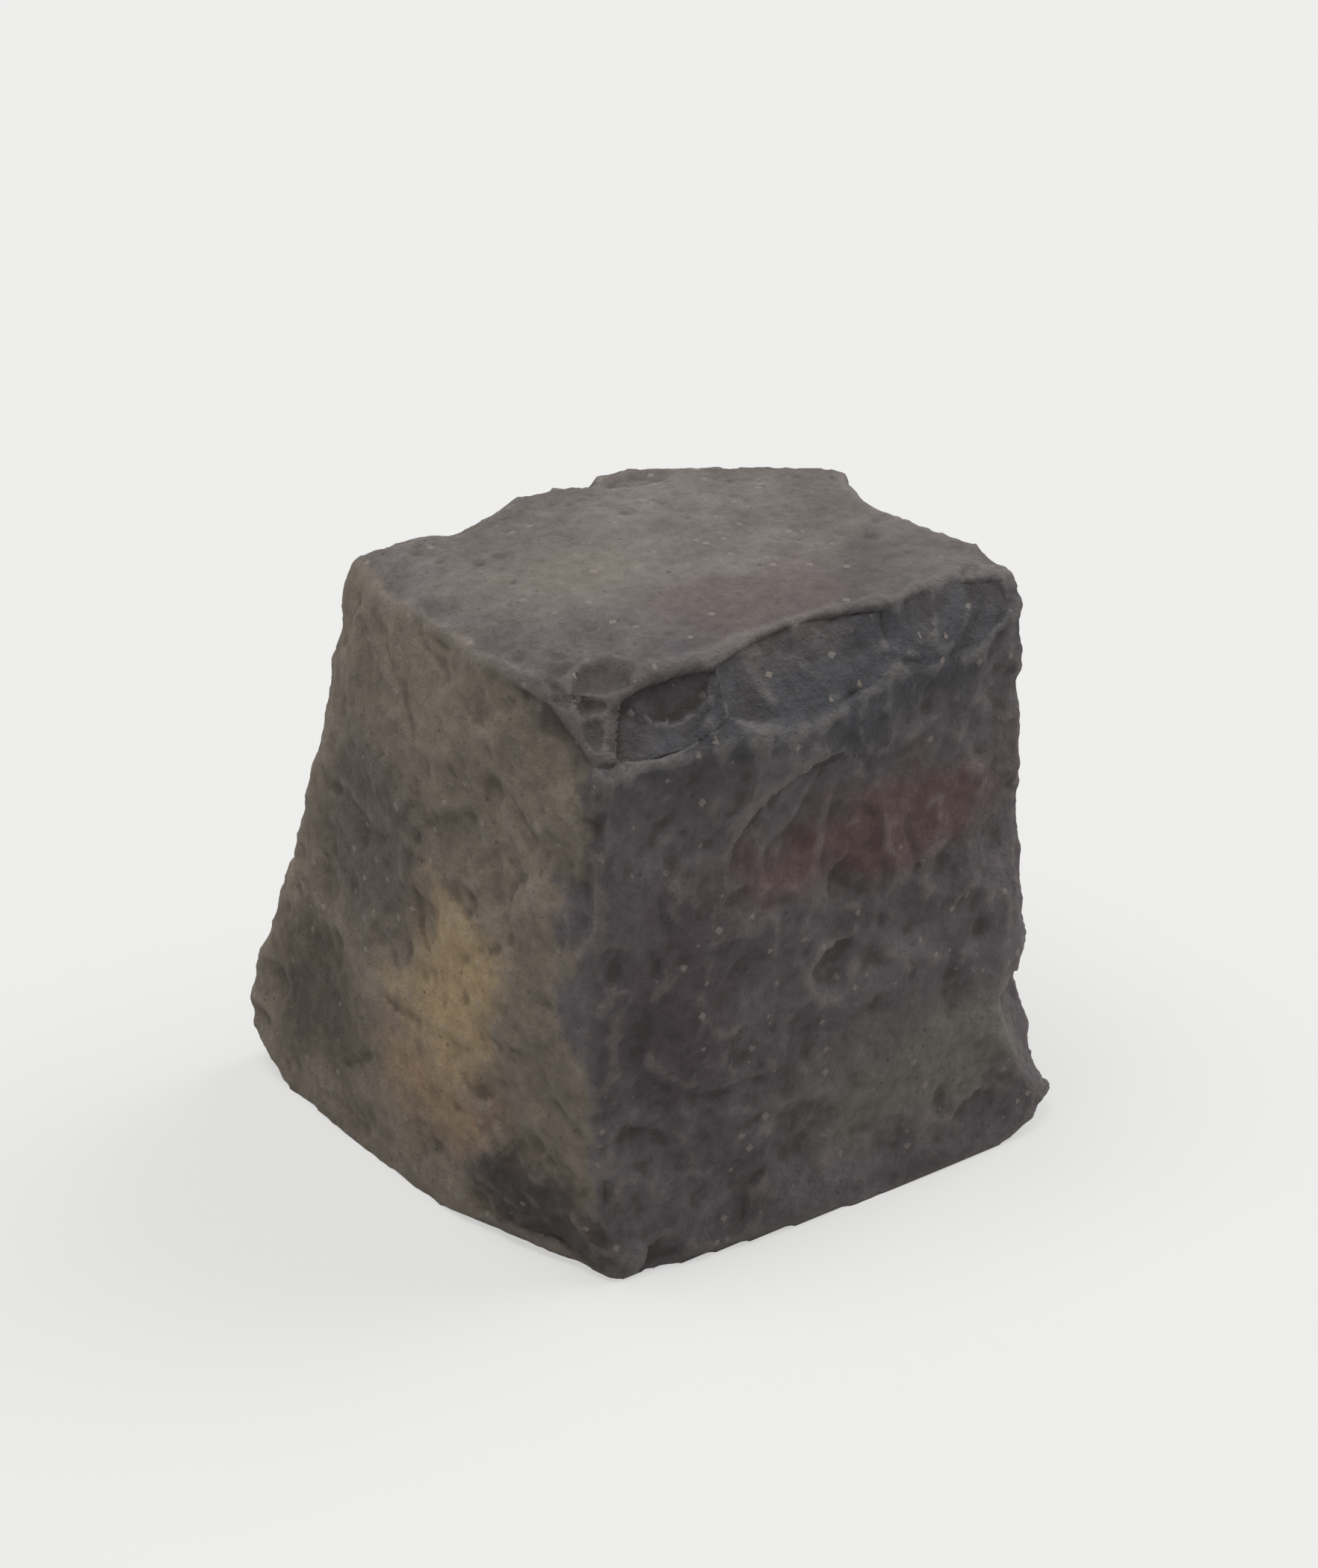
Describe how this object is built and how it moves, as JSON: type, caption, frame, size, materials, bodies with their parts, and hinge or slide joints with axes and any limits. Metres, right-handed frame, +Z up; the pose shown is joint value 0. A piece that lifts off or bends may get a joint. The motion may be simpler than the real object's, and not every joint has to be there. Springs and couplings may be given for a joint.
{
  "type": "paving stone",
  "caption": "Rough cube of hewn dark natural stone, a sett, with a flat bed, split sides that lean in and a worn, crowned head, for laying in a paved surface.",
  "frame": {"origin": "middle of the stone's plan, on the bed that it rests on", "axes": "+Z up from the bed to the crowned head, -Y out of the front side, +X to the right along the front side"},
  "size_m": [0.1098, 0.106, 0.11],
  "materials": {
    "stone": "hewn and cleft dark volcanic stone, weathered, with ochre and olive patina"
  },
  "bodies": {
    "root": {"paving_stone": "stone"}
  },
  "joints": []
}
